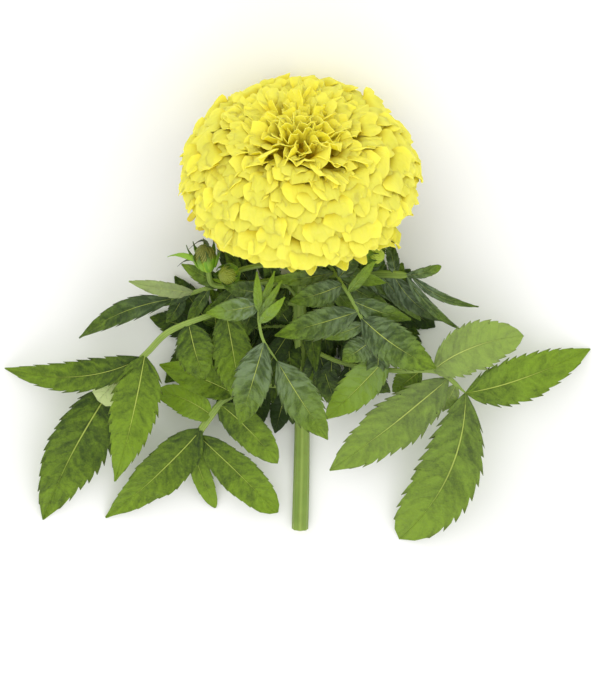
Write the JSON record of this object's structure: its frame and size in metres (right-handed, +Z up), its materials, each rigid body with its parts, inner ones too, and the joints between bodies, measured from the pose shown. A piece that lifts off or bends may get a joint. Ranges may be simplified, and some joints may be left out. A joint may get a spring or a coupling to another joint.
{
  "type": "african marigold flower",
  "caption": "Picked double marigold bloom on its leafy stem with side buds, lying on a surface.",
  "frame": {"origin": "centre of the bounding box on the surface that the flower lies on", "axes": "+Z up from the surface, +Y from the cut end of the stem to the bloom, +X to the right of someone who looks down on the flower with the bloom at the top"},
  "size_m": [0.2346, 0.1976, 0.089],
  "materials": {
    "petals": "soft matte petals with a faint velvet sheen",
    "calyx": "matte ribbed green",
    "stem": "matte ridged green",
    "leaves": "satin leaf surface with paler ribs",
    "buds": "matte green bracts"
  },
  "bodies": {
    "root": {"bloom": "petals", "calyx": "calyx", "stem": "stem", "leaf_left_large": "leaves", "leaf_left_upper": "leaves", "leaf_low_left": "leaves", "leaf_front_left": "leaves", "leaf_front_right": "leaves", "leaf_right_large": "leaves", "leaf_right_upper": "leaves", "leaf_back_left": "leaves", "leaf_back_right": "leaves", "bud_left": "buds", "bud_middle": "buds", "bud_right": "buds"}
  },
  "joints": []
}
